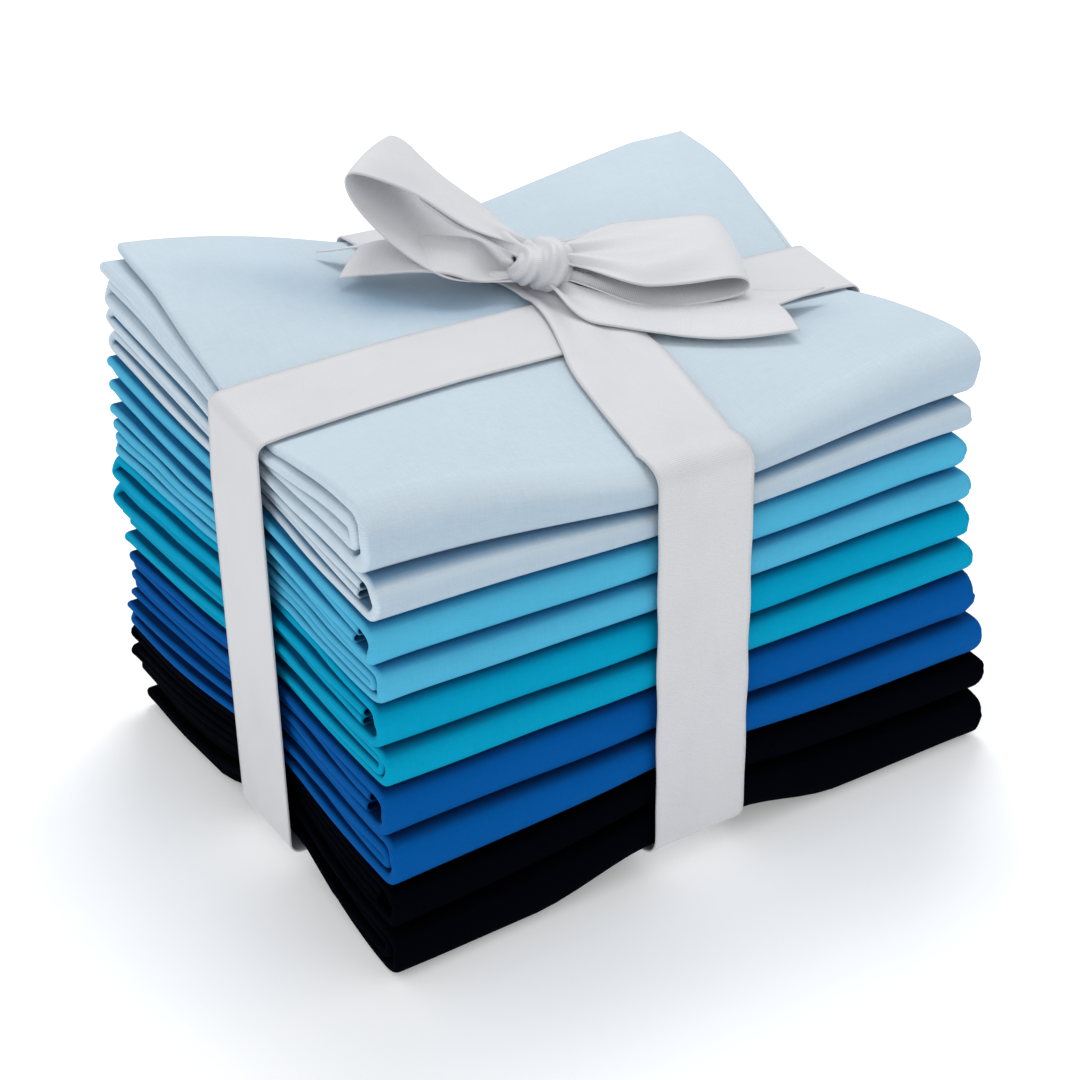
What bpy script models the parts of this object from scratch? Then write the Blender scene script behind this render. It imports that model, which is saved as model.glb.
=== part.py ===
# Fat quarter bundle: ten folded cotton cloths in a stack, tied crosswise with one satin
# ribbon that ends in a bow on top.
#
# Frame: origin at the middle of the underside, +X along the long folded front edge,
# +Y to the back, +Z up. Sizes and places are in millimetres until a mesh is made.
from collections import namedtuple
from math import cos, pi, sin

import bmesh
import bpy
from mathutils import Vector

MM = 0.001

# The stack's own middle, where its two folded sizes cross, lies this far from the origin
MIDDLE_X = -6.0
MIDDLE_Y = 0.0

# Stack of folded cloths
STACK_LENGTH = 167.0        # 500 mm of cloth folded in three
STACK_WIDTH = 137.0         # 550 mm of cloth folded in four
PLY = 1.0                   # thickness of one ply
TOP_LEVEL = 5               # the plies of a cloth lie on levels 0 to 5
SEAM_GAP = 0.4              # between one cloth and the next
END_STAGGER = 0.9           # how unevenly the plies end at the open left end
STAGGER_TURN = 2.3          # that unevenness turns by this angle from level to level
STAGGER_SHIFT = 1.9         # and by this angle from cloth to cloth
END_SQUEEZE = 2.0           # how far the ribbon draws the ends of a cloth in
END_WAVE = 0.35             # how much the inner plies rise and fall at the left end
WAVE_TURN = 2.9
WAVE_SHIFT = 1.3
RIGHT_ROUNDING = 3.0        # how far the outer plies fall short of the middle ones there

# Ribbon
RIBBON_WIDTH = 25.0
RIBBON = 1.0                # thickness
FIT = 0.4                   # clearance between ribbon and cloth, and between ribbons
FRONT_STRIP_X = -0.5        # middle of the band over the front and back
END_STRIP_Y = -7.5          # middle of the band over the two ends
BEND_DROP = 2.0             # the band starts to bend this far inside an edge
BEND_REACH = 1.1            # and its bend is centred this far inside that edge
END_REACH = 1.5             # the same at the two ends, where the cloth yields a little
SHOULDER_CLOTHS = 2         # the band leans in over so many cloths at the top left
CROSS_CLEAR = 0.8           # the upper band stays raised this far past the lower one
CROSS_RAMP = 1.8            # and comes down over this length
GRIP = 0.2                  # margin for comparing places

# Bow
KNOT_X = 10.8
KNOT_Y = 11.0
KNOT_HALF_LENGTH = 6.0
KNOT_HALF_WIDTH = 7.5
KNOT_HALF_HEIGHT = 5.6
KNOT_WIDTH = 14.0           # width that the bands shrink to under the knot
ROOT_WIDTH = 9.0            # width of a loop or tail where it leaves the knot
NECK_HALF = 4.0             # the band is narrowest so far to each side of the knot
NECK_LENGTH = 38.0          # and reaches its full width over this length
BOW_AXIS = Vector((0.79, -0.61, 0.0)).normalized()      # from the left loop to the right one
KNOT_SIDES = 12
KNOT_RINGS = ((-1.0, 0.62), (-0.72, 0.92), (-0.25, 1.0), (0.2, 0.94), (0.68, 0.98), (1.0, 0.66))
WRAPS = 3                   # soft wraps round the knot, how deep and how much they twist
WRAP_DEPTH = 0.05
WRAP_TWIST = 2.0

# Loops and tails leave the knot along a direction in plan. A loop has the direction of
# its width, the rise of its tip, its length and opening, and its height at the knot.
Loop = namedtuple("Loop", "name out side rise length opening root_height")
LOOPS = (
    Loop("bow_loop_left", (-0.61, 0.79, 0.0), (0.80, 0.60, 0.08), 19.0, 45.0, 10.0, 2.0),
    Loop("bow_loop_right", (0.88, -0.475, 0.0), (0.30, 0.93, 0.12), 0.6, 45.0, 7.0, 3.2),
)
LOOP_ROWS = 17
LOOP_ROOT_GAP = 0.9         # half the room between a loop's two ends at the knot
LOOP_SPREAD = 1.5           # how fast a loop widens from its root

# A tail's ridge runs along its middle. Its end is cut to a notch and a slant, and its
# root leaves the knot a little under the loops.
Tail = namedtuple("Tail", "name out side length notch slant ridge root_drop")
TAILS = (
    Tail("ribbon_tail_left", (-0.73, 0.68, 0.0), (0.68, 0.73, 0.0), 56.0, 9.0, 6.0, 5.0, 3.2),
    Tail("ribbon_tail_right", (0.65, -0.76, 0.0), (0.76, 0.65, 0.0), 66.0, 9.0, -3.0, 1.0, 3.2),
)
TAIL_CLEARANCE = 3.9        # over the top cloth, so that it passes over both bands
TAIL_SHARES = (0.0, 0.06, 0.14, 0.25, 0.4, 0.55, 0.7, 0.85, 1.0)
TAIL_SPREAD = 3.2           # how fast a tail widens from its root
TAIL_FALL = 3.0             # and how fast it comes down on to the top

# Where the squeeze of the ribbon is felt: full at the front edge, less elsewhere
PULL_CENTRE = 0.65
PULL_FRONT = 1.0
PULL_BACK = 0.95
PULL_LEFT = 0.95
PULL_RIGHT = 0.75
FOOT_REACH = 0.45           # the underside is flat from here to the corners

# Plies are bent at these places, the same in every cloth
STATION_X = (-52.0, FRONT_STRIP_X - RIBBON_WIDTH / 2, FRONT_STRIP_X + RIBBON_WIDTH / 2, 52.0)
STATION_Y = (-43.0, END_STRIP_Y - RIBBON_WIDTH / 2, END_STRIP_Y + RIBBON_WIDTH / 2, 40.0)

# One row for each cloth, from the bottom up: thickness at the four corners, how much of
# it the ribbon squeezes out, where its ends lie in X, how far its folded front and its
# open back stay inside the stack's width, and its colour.
Quarter = namedtuple(
    "Quarter",
    "name front_left front_right back_left back_right squeeze "
    "left_front left_back right_front right_back front_inset back_inset colour",
)
NIGHT = (0.004, 0.005, 0.012)
ROYAL = (0.004, 0.096, 0.315)
TEAL = (0.003, 0.290, 0.456)
AQUA = (0.082, 0.420, 0.590)
ICE = (0.580, 0.690, 0.770)
QUARTERS = (
    Quarter("quarter_10", 12.1, 13.3, 13.3, 13.0, 1.3, -80.5, -78.5, 89.5, 88.5, 0.0, 2.0, NIGHT),
    Quarter("quarter_09", 11.0, 11.1, 11.7, 11.5, 1.7, -79.8, -80.5, 89.3, 89.0, 0.6, 0.5, NIGHT),
    Quarter("quarter_08", 12.9, 11.6, 9.8, 12.0, 2.4, -79.5, -80.5, 87.5, 87.5, 0.3, 1.5, ROYAL),
    Quarter("quarter_07", 12.5, 13.4, 11.3, 12.3, 0.85, -80.8, -79.0, 83.5, 87.0, 0.8, 0.8, ROYAL),
    Quarter("quarter_06", 9.7, 9.6, 13.1, 11.6, 0.6, -79.8, -79.0, 81.4, 86.0, 0.2, 2.4, TEAL),
    Quarter("quarter_05", 10.8, 10.1, 14.1, 12.6, 0.4, -80.8, -80.2, 79.6, 86.0, 0.5, 0.6, TEAL),
    Quarter("quarter_04", 8.7, 9.0, 13.3, 11.6, 0.3, -80.2, -79.5, 78.8, 86.0, 0.2, 1.8, AQUA),
    Quarter("quarter_03", 10.2, 9.9, 13.0, 11.6, 0.6, -81.5, -78.0, 76.8, 87.0, 0.6, 0.4, AQUA),
    Quarter("quarter_02", 10.1, 8.3, 13.1, 12.0, 2.2, -80.5, -75.0, 76.8, 90.0, 0.3, 1.2, ICE),
    Quarter("quarter_01", 17.0, 15.7, 14.5, 15.2, 7.85, -82.0, -73.0, 77.2, 96.0, 0.0, 2.0, ICE),
)
LIFT = 6.0                  # the ribbon holds the middle of the underside this high

# The cloth runs to and fro as one strip: for each ply its level, whether it heads for
# the front (-1) or the back (+1), and how far its back end is set in.
Run = namedtuple("Run", "level heading back_set raw")
RUNS = (
    Run(5, -1, 0.3, True),
    Run(0, 1, 0.0, False),
    Run(1, -1, 0.0, False),
    Run(4, 1, 2.6, False),
    Run(3, -1, 2.6, False),
    Run(2, 1, 1.6, True),
)
TURN_STEPS = {5: 6, 3: 4, 1: 3}     # facets round a fold that spans so many levels

SATIN = (0.760, 0.765, 0.790)


def blend(a, b, share):
    return a + (b - a) * share


def clamp(value, low, high):
    return max(low, min(high, value))


def smooth(share):
    share = clamp(share, 0.0, 1.0)
    return share * share * (3.0 - 2.0 * share)


def across(x):
    return clamp(x / STACK_LENGTH + 0.5, 0.0, 1.0)


def along(y):
    return clamp(y / STACK_WIDTH + 0.5, 0.0, 1.0)


def distance_share(value, middle, limit):
    """0 under the ribbon's width, 1 at the stack's edge."""
    past = abs(value - middle) - RIBBON_WIDTH / 2
    room = limit - RIBBON_WIDTH / 2 - abs(middle)
    return clamp(past / room, 0.0, 1.0)


def pull(x, y, falloff):
    """Share of the ribbon's squeeze felt at one place of the stack."""
    from_front_strip = falloff(distance_share(x, FRONT_STRIP_X, STACK_LENGTH / 2))
    from_end_strip = falloff(distance_share(y, END_STRIP_Y, STACK_WIDTH / 2))
    edge_y = PULL_FRONT if y < END_STRIP_Y else PULL_BACK
    edge_x = PULL_LEFT if x < FRONT_STRIP_X else PULL_RIGHT
    share_y = distance_share(y, END_STRIP_Y, STACK_WIDTH / 2) ** 2
    share_x = distance_share(x, FRONT_STRIP_X, STACK_LENGTH / 2) ** 2
    under_front_strip = blend(PULL_CENTRE, edge_y, share_y)
    under_end_strip = blend(PULL_CENTRE, edge_x, share_x)
    both = from_front_strip * from_end_strip * PULL_CENTRE
    return under_front_strip * from_front_strip + under_end_strip * from_end_strip - both


def soft_falloff(share):
    return 1.0 - sin(share * pi / 2)


def foot_falloff(share):
    return 1.0 - smooth(share / FOOT_REACH)


def seam_height(seam, x, y):
    """Height of the seam under cloth number seam, counted from the bottom."""
    s = across(x)
    t = along(y)
    height = LIFT * pull(x, y, soft_falloff if seam else foot_falloff)
    for cloth in QUARTERS[:seam]:
        front = blend(cloth.front_left, cloth.front_right, s)
        back = blend(cloth.back_left, cloth.back_right, s)
        height += blend(front, back, t)
    squeezed = sum(cloth.squeeze for cloth in QUARTERS[:seam])
    return height - squeezed * pull(x, y, soft_falloff)


def facet_height(seam, x, y):
    """The same height on the flat facets between the stations."""
    xs = (-STACK_LENGTH / 2, *STATION_X, STACK_LENGTH / 2)
    ys = (-STACK_WIDTH / 2, *STATION_Y, STACK_WIDTH / 2)
    i = max(k for k in range(len(xs) - 1) if k == 0 or x >= xs[k])
    j = max(k for k in range(len(ys) - 1) if k == 0 or y >= ys[k])
    a = clamp((x - xs[i]) / (xs[i + 1] - xs[i]), 0.0, 1.0)
    b = clamp((y - ys[j]) / (ys[j + 1] - ys[j]), 0.0, 1.0)
    low = seam_height(seam, xs[i], ys[j])
    high = seam_height(seam, xs[i + 1], ys[j + 1])
    if a >= b:
        side = seam_height(seam, xs[i + 1], ys[j])
        return low + a * (side - low) + b * (high - side)
    side = seam_height(seam, xs[i], ys[j + 1])
    return low + b * (side - low) + a * (high - side)


def top_height(x, y):
    return facet_height(len(QUARTERS), x, y)


def make_material(name, colour, roughness):
    material = bpy.data.materials.new(name)
    material.use_nodes = True
    shader = material.node_tree.nodes["Principled BSDF"]
    shader.inputs["Base Color"].default_value = (*colour, 1.0)
    shader.inputs["Roughness"].default_value = roughness
    shader.inputs["Metallic"].default_value = 0.0
    return material


def add_object(name, bm, material):
    bmesh.ops.recalc_face_normals(bm, faces=bm.faces)
    bmesh.ops.translate(bm, verts=bm.verts, vec=Vector((MIDDLE_X, MIDDLE_Y, 0.0)) * MM)
    mesh = bpy.data.meshes.new(name)
    bm.to_mesh(mesh)
    bm.free()
    mesh.materials.append(material)
    piece = bpy.data.objects.new(name, mesh)
    bpy.context.scene.collection.objects.link(piece)
    return piece


def add_quad(bm, a, b, c, d):
    """Two triangles, split from the corner nearest the front left to the far one."""
    start = min((a, b, c, d), key=lambda vertex: vertex.co.x + vertex.co.y)
    if start in (a, c):
        bm.faces.new((a, b, c))
        bm.faces.new((a, c, d))
    else:
        bm.faces.new((b, c, d))
        bm.faces.new((b, d, a))


def add_slab(name, upper, lower, material, ring=False):
    """A sheet with thickness, from two grids of points (rows of columns)."""
    bm = bmesh.new()
    grids = []
    for grid in (upper, lower):
        grids.append([[bm.verts.new(Vector(point) * MM) for point in row] for row in grid])
    over, under = grids
    rows = len(over)
    last = len(over[0]) - 1
    pairs = [(j, (j + 1) % rows) for j in range(rows if ring else rows - 1)]
    for j, k in pairs:
        for i in range(last):
            add_quad(bm, over[j][i], over[j][i + 1], over[k][i + 1], over[k][i])
            add_quad(bm, under[j][i], under[j][i + 1], under[k][i + 1], under[k][i])
        for i in (0, last):
            add_quad(bm, over[j][i], over[k][i], under[k][i], under[j][i])
    if not ring:
        for j in (0, rows - 1):
            for i in range(last):
                add_quad(bm, over[j][i], over[j][i + 1], under[j][i + 1], under[j][i])
    return add_object(name, bm, material)


# A place on the folded strip: its Y, its level, and which way its outer face looks
Place = namedtuple("Place", "y level out_y out_z")


def ply_pitch(cloth):
    corners = (cloth.front_left, cloth.front_right, cloth.back_left, cloth.back_right)
    return (sum(corners) / len(corners) - SEAM_GAP - PLY) / TOP_LEVEL


def strip_places(cloth):
    """The folded strip's section in the YZ plane, from one raw edge to the other."""
    pitch = ply_pitch(cloth)
    front = -STACK_WIDTH / 2 + cloth.front_inset + pitch * TOP_LEVEL / 2 + PLY / 2
    back = STACK_WIDTH / 2 - cloth.back_inset
    places = []
    for number, run in enumerate(RUNS):
        fold_room = 0.0 if run.raw else pitch / 2 + PLY / 2
        ys = [front, *STATION_Y, back - run.back_set - fold_room]
        if run.heading < 0:
            ys.reverse()
        places += [Place(y, run.level, 0.0, run.heading) for y in ys]
        if number + 1 == len(RUNS):
            break
        middle = (run.level + RUNS[number + 1].level) / 2
        reach = run.level - middle
        steps = TURN_STEPS[round(abs(reach) * 2)]
        for step in range(1, steps):
            angle = pi * step / steps
            y = ys[-1] + run.heading * abs(reach) * pitch * sin(angle)
            level = middle + reach * cos(angle)
            rise = -sin(angle) if reach > 0 else sin(angle)
            places.append(Place(y, level, -rise, run.heading * cos(angle)))
    return places


def ends_in_x(cloth, level, y, number):
    """Where one ply ends at the open left end and at the rounded right end."""
    left = blend(cloth.left_front, cloth.left_back, along(y))
    drawn_in = END_SQUEEZE * soft_falloff(distance_share(y, END_STRIP_Y, STACK_WIDTH / 2))
    left += END_STAGGER * sin(STAGGER_TURN * level + STAGGER_SHIFT * number) + drawn_in
    right = blend(cloth.right_front, cloth.right_back, along(y))
    right -= RIGHT_ROUNDING * (2 * level / TOP_LEVEL - 1) ** 2 + drawn_in
    return left, right


def cloth_point(cloth, number, place, side, column):
    half = side * PLY / 2
    y = place.y + half * place.out_y
    left, right = ends_in_x(cloth, place.level, place.y, number)
    x = (left, *STATION_X, right)[column]
    floor = seam_height(number, x, y) + SEAM_GAP / 2
    roof = seam_height(number + 1, x, y) - SEAM_GAP / 2
    if number == 0:
        floor -= SEAM_GAP / 2
    z = floor + PLY / 2 + (roof - floor - PLY) * place.level / TOP_LEVEL
    if column == 0:
        inner = sin(pi * place.level / TOP_LEVEL)
        z += END_WAVE * inner * sin(WAVE_TURN * place.level + WAVE_SHIFT * number)
    return x, y, z + half * place.out_z


def build_quarter(number, cloth):
    material = make_material("cotton_" + cloth.name, cloth.colour, 0.85)
    places = strip_places(cloth)
    columns = range(len(STATION_X) + 2)
    grids = []
    for side in (1, -1):
        grids.append(
            [[cloth_point(cloth, number, place, side, i) for i in columns] for place in places]
        )
    return add_slab(cloth.name, grids[0], grids[1], material)


def split_sides(rows):
    """Two grids from rows of (point, outward direction), half a thickness each way."""
    grids = []
    for side in (1, -1):
        grid = []
        for row in rows:
            grid.append([point + normal * (side * RIBBON / 2) for point, normal in row])
        grids.append(grid)
    return grids


def bend_directions(start, end):
    """Directions round a quarter bend, from one angle to the other in three steps."""
    return [start + (end - start) * step / 3 for step in range(4)]


def band_columns(middle, width):
    return [middle - width / 2, middle, middle + width / 2]


def front_strip_middle(y):
    """The band leans towards the knot on its way over the top."""
    if y < KNOT_Y:
        share = smooth((y + STACK_WIDTH / 2) / (KNOT_Y + STACK_WIDTH / 2))
    else:
        share = smooth((STACK_WIDTH / 2 - y) / (STACK_WIDTH / 2 - KNOT_Y))
    return blend(FRONT_STRIP_X, KNOT_X, share)


def front_strip_width(y):
    share = smooth((abs(y - KNOT_Y) - NECK_HALF) / NECK_LENGTH)
    return blend(KNOT_WIDTH, RIBBON_WIDTH, share)


def over_end_strip(y):
    """1 where the band over the front crosses the band over the ends."""
    past = abs(y - END_STRIP_Y) - RIBBON_WIDTH / 2
    return 1.0 if past < CROSS_CLEAR + GRIP else 0.0


def build_band_over_front(material):
    off = FIT + RIBBON / 2
    step_up = FIT + RIBBON
    raised_from = END_STRIP_Y - RIBBON_WIDTH / 2 - CROSS_CLEAR
    raised_to = END_STRIP_Y + RIBBON_WIDTH / 2 + CROSS_CLEAR
    crossing = (raised_from - CROSS_RAMP, raised_from, -12.0, -3.0, raised_to, raised_to + CROSS_RAMP)
    rows = []
    for y in (-56.0, STATION_Y[0], -30.0, *crossing, 14.0, 24.0, STATION_Y[-1], 56.0):
        row = []
        for x in band_columns(front_strip_middle(y), front_strip_width(y)):
            z = top_height(x, y) + off + step_up * over_end_strip(y)
            row.append((Vector((x, y, z)), Vector((0, 0, 1))))
        rows.append(row)
    xs = band_columns(FRONT_STRIP_X, RIBBON_WIDTH)
    y_back = STACK_WIDTH / 2 - BEND_REACH
    bend = BEND_DROP + off
    for seam, drop, start, end in (
        (len(QUARTERS), -BEND_DROP, pi / 2, 0.0),
        (0, BEND_DROP, 0.0, -pi / 2),
    ):
        for angle in bend_directions(start, end):
            row = []
            for x in xs:
                z = facet_height(seam, x, y_back) + drop + bend * sin(angle)
                point = Vector((x, y_back + bend * cos(angle), z))
                row.append((point, Vector((0, cos(angle), sin(angle)))))
            rows.append(row)
    for y in (STATION_Y[-1], *reversed(crossing), STATION_Y[0]):
        row = []
        for x in xs:
            z = facet_height(0, x, y) - off - step_up * over_end_strip(y)
            row.append((Vector((x, y, z)), Vector((0, 0, -1))))
        rows.append(row)
    rows += front_turn_rows(QUARTERS[0], 0, xs, -pi / 2, 0.0, off)
    rows += front_turn_rows(QUARTERS[-1], len(QUARTERS) - 1, xs, 0.0, pi / 2, off)
    upper, lower = split_sides(rows)
    return add_slab("ribbon_over_front", upper, lower, material, ring=True)


def front_turn_rows(cloth, number, xs, start, end, off):
    """Rows that follow the rounded front fold of the lowest or the highest cloth."""
    pitch = ply_pitch(cloth)
    reach_y = pitch * TOP_LEVEL / 2 + PLY / 2
    centre_y = -STACK_WIDTH / 2 + cloth.front_inset + reach_y
    rows = []
    for angle in bend_directions(start, end):
        row = []
        for x in xs:
            low = facet_height(number, x, centre_y)
            high = facet_height(number + 1, x, centre_y)
            reach_z = (high - low) / 2 + off
            y = centre_y - (reach_y + off) * cos(angle)
            z = (low + high) / 2 + reach_z * sin(angle)
            row.append((Vector((x, y, z)), Vector((0, -cos(angle), sin(angle)))))
        rows.append(row)
    return rows


def end_of_stack(cloth, side, y):
    """Outermost X of a cloth's end where the band over the ends draws it in."""
    if side < 0:
        left = blend(cloth.left_front, cloth.left_back, along(y))
        return left - END_STAGGER + END_SQUEEZE
    return blend(cloth.right_front, cloth.right_back, along(y)) - END_SQUEEZE


def build_band_over_ends(material):
    off = FIT + RIBBON / 2
    bend = BEND_DROP + off
    ys = band_columns(END_STRIP_Y, RIBBON_WIDTH)
    last = len(QUARTERS)
    top_cloth = QUARTERS[-1]
    right_top = [end_of_stack(top_cloth, 1, y) - END_REACH for y in ys]
    right_low = [max(end_of_stack(cloth, 1, y) for cloth in QUARTERS) - END_REACH for y in ys]
    left_top = [end_of_stack(top_cloth, -1, y) + END_REACH for y in ys]
    left_low = [min(end_of_stack(cloth, -1, y) for cloth in QUARTERS) + END_REACH for y in ys]
    rows = bend_rows(ys, right_top, 1, last, pi / 2, 0.0)
    rows += bend_rows(ys, right_low, 1, 0, 0.0, -pi / 2)
    rows += flat_rows(ys, tuple(reversed(STATION_X)), 0, -1, off)
    rows += bend_rows(ys, left_low, -1, 0, -pi / 2, 0.0)
    row = []
    for y, low in zip(ys, left_low):
        z = facet_height(last - SHOULDER_CLOTHS, low, y)
        row.append((Vector((low - bend, y, z)), Vector((-1, 0, 0))))
    rows.append(row)
    rows += bend_rows(ys, left_top, -1, last, 0.0, pi / 2)
    rows += flat_rows(ys, STATION_X, last, 1, off)
    upper, lower = split_sides(rows)
    return add_slab("ribbon_over_ends", upper, lower, material, ring=True)


def bend_rows(ys, x_bends, out, seam, start, end):
    """Rows round one edge of the stack's end, out being the way that the end faces."""
    drop = -BEND_DROP if seam else BEND_DROP
    bend = BEND_DROP + FIT + RIBBON / 2
    rows = []
    for angle in bend_directions(start, end):
        row = []
        for y, x_bend in zip(ys, x_bends):
            z = facet_height(seam, x_bend, y) + drop + bend * sin(angle)
            point = Vector((x_bend + out * bend * cos(angle), y, z))
            row.append((point, Vector((out * cos(angle), 0, sin(angle)))))
        rows.append(row)
    return rows


def flat_rows(ys, xs, seam, up, off):
    rows = []
    for x in xs:
        row = []
        for y in ys:
            z = facet_height(seam, x, y) + up * off
            row.append((Vector((x, y, z)), Vector((0, 0, up))))
        rows.append(row)
    return rows


def knot_centre():
    stacked = top_height(KNOT_X, KNOT_Y) + 2 * FIT + RIBBON
    return Vector((KNOT_X, KNOT_Y, stacked + KNOT_HALF_HEIGHT))


def build_knot(material):
    """A short barrel round the bow's axis, drawn in at both ends, with soft wraps."""
    centre = knot_centre()
    side = Vector((0, 0, 1)).cross(BOW_AXIS)
    bm = bmesh.new()
    grid = []
    for place, swell in KNOT_RINGS:
        ring = []
        for k in range(KNOT_SIDES):
            angle = 2 * pi * k / KNOT_SIDES
            wrap = 1.0 - WRAP_DEPTH * (1 + cos(WRAPS * angle + WRAP_TWIST * place))
            width = KNOT_HALF_WIDTH * swell * wrap * cos(angle)
            height = KNOT_HALF_HEIGHT * swell * wrap * sin(angle)
            offset = BOW_AXIS * (place * KNOT_HALF_LENGTH) + side * width
            point = centre + offset + Vector((0, 0, height))
            ring.append(bm.verts.new(point * MM))
        grid.append(ring)
    for low, high in zip(grid, grid[1:]):
        for k in range(KNOT_SIDES):
            n = (k + 1) % KNOT_SIDES
            add_quad(bm, low[k], low[n], high[n], high[k])
    for ring in (grid[0], grid[-1]):
        bm.faces.new(ring)
    return add_object("bow_knot", bm, material)


def root_reach(out, side):
    """How far out a root starts, so that its nearest corner just clears the knot's end."""
    skew = abs(side.dot(BOW_AXIS)) * ROOT_WIDTH / 2
    return (KNOT_HALF_LENGTH + FIT + skew) / abs(out.dot(BOW_AXIS))


def build_loop(loop, material):
    out = Vector(loop.out).normalized()
    side = Vector(loop.side).normalized()
    root = root_reach(out, side)
    start = knot_centre() + Vector((0, 0, loop.root_height))
    centres = []
    widths = []
    for step in range(LOOP_ROWS):
        u = 2.0 * step / (LOOP_ROWS - 1) - 1.0
        far = (1.0 - u * u)
        reach = blend(root, loop.length, far)
        up = loop.opening / 2 * sin(pi * u) + LOOP_ROOT_GAP * u
        up += loop.rise * far
        centres.append(start + out * reach + Vector((0, 0, up)))
        widths.append(blend(ROOT_WIDTH, RIBBON_WIDTH, smooth(far * LOOP_SPREAD)))
    rows = []
    for step, centre in enumerate(centres):
        before = centres[max(step - 1, 0)]
        after = centres[min(step + 1, LOOP_ROWS - 1)]
        normal = (after - before).cross(side).normalized()
        half = side * widths[step] / 2
        rows.append([(centre - half, normal), (centre, normal), (centre + half, normal)])
    upper, lower = split_sides(rows)
    return add_slab(loop.name, upper, lower, material)


def build_tail(tail, material):
    """A strip from under the loop's root down on to the top, with a swallow-tailed end."""
    out = Vector(tail.out).normalized()
    side = Vector(tail.side).normalized()
    root = root_reach(out, side)
    centre = knot_centre()
    flat_half = (RIBBON_WIDTH ** 2 / 4 - tail.ridge ** 2) ** 0.5
    rows = []
    for share in TAIL_SHARES:
        reach = blend(root, tail.length, share)
        spread = smooth(share * TAIL_SPREAD)
        half = blend(ROOT_WIDTH / 2, flat_half, spread)
        row = []
        for column in (-1, 0, 1):
            cut = tail.notch * (1 - abs(column)) - tail.slant * column
            place = centre + out * (reach - cut * share ** 3) + side * (column * half)
            lie = top_height(place.x, place.y) + TAIL_CLEARANCE
            lie += spread * tail.ridge * (1 - abs(column))
            place.z = blend(centre.z - tail.root_drop, lie, smooth(share * TAIL_FALL))
            row.append((place, Vector((0, 0, 1))))
        rows.append(row)
    upper, lower = split_sides(rows)
    return add_slab(tail.name, upper, lower, material)


def main():
    for piece in list(bpy.data.objects):
        bpy.data.objects.remove(piece, do_unlink=True)
    for number, cloth in enumerate(QUARTERS):
        build_quarter(number, cloth)
    satin = make_material("ribbon_satin", SATIN, 0.35)
    build_band_over_ends(satin)
    build_band_over_front(satin)
    build_knot(satin)
    for loop in LOOPS:
        build_loop(loop, satin)
    for tail in TAILS:
        build_tail(tail, satin)


main()
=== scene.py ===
from math import cos, pi, radians, sin

import bpy
import numpy as np
from mathutils import Matrix, Vector


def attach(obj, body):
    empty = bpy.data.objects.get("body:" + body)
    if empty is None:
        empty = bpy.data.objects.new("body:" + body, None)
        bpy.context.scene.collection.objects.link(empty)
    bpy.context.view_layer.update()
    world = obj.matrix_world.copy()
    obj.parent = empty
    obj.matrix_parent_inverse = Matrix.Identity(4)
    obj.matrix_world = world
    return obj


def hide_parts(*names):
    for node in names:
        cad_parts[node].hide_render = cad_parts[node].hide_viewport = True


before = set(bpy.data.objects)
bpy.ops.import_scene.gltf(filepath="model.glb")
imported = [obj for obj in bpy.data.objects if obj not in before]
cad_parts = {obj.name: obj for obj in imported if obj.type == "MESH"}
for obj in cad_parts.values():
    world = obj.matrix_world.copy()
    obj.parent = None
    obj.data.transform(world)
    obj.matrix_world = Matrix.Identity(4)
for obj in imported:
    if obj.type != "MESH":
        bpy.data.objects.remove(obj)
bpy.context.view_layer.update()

# Fat quarter bundle. Lengths are in millimetres until a mesh is made; +X runs along the
# long folded front edge, +Y to the back.
mm = 0.001

cameraView = {
    "place": (-252.52, -389.0, 299.75),
    "azimuth": -32.53,      # degrees round the stack, 0 looks along +Y
    "elevation": 28.14,
    "roll": -1.145,
    "lens": 71.11,
}


def addCamera():
    a, e, r = (radians(cameraView[key]) for key in ("azimuth", "elevation", "roll"))
    back = Vector((sin(a) * cos(e), -cos(a) * cos(e), sin(e)))
    right = (-back).cross(Vector((0, 0, 1))).normalized()
    up = right.cross(-back)
    rolledRight = right * cos(r) + up * sin(r)
    rolledUp = up * cos(r) - right * sin(r)
    data = bpy.data.cameras.new("photoCamera")
    data.lens = cameraView["lens"]
    data.sensor_width = 36.0
    data.clip_start = 0.01
    camera = bpy.data.objects.new("photoCamera", data)
    turn = Matrix((rolledRight, rolledUp, back)).transposed().to_4x4()
    camera.matrix_world = Matrix.Translation(Vector(cameraView["place"]) * mm) @ turn
    bpy.context.scene.collection.objects.link(camera)
    bpy.context.scene.camera = camera


addCamera()
print("camera placed")


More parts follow.
